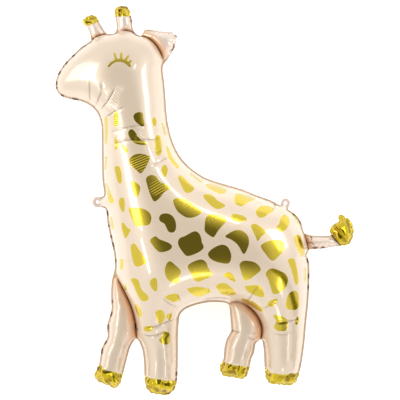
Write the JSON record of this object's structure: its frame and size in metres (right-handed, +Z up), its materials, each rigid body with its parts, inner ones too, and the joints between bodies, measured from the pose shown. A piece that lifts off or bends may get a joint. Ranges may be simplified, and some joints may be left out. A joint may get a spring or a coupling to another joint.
{
  "type": "giraffe foil balloon",
  "caption": "Giraffe-shaped foil balloon, filled and sealed, lying on its side, with a welded rim and hanging tabs.",
  "frame": {"origin": "middle of the outline's box in X and Y, on the surface that the balloon lies on", "axes": "+X from muzzle to tail, +Y from hooves to horns, +Z up through the balloon's thickness; the welded rim lies in a level plane halfway up"},
  "size_m": [0.7801, 1.02, 0.2494],
  "materials": {
    "pearl_film": "glossy pearl film in pale champagne, printed with mirror-gold spots, hooves, horn tips and tail tuft"
  },
  "bodies": {
    "root": {"giraffe_balloon": "pearl_film"}
  },
  "joints": []
}
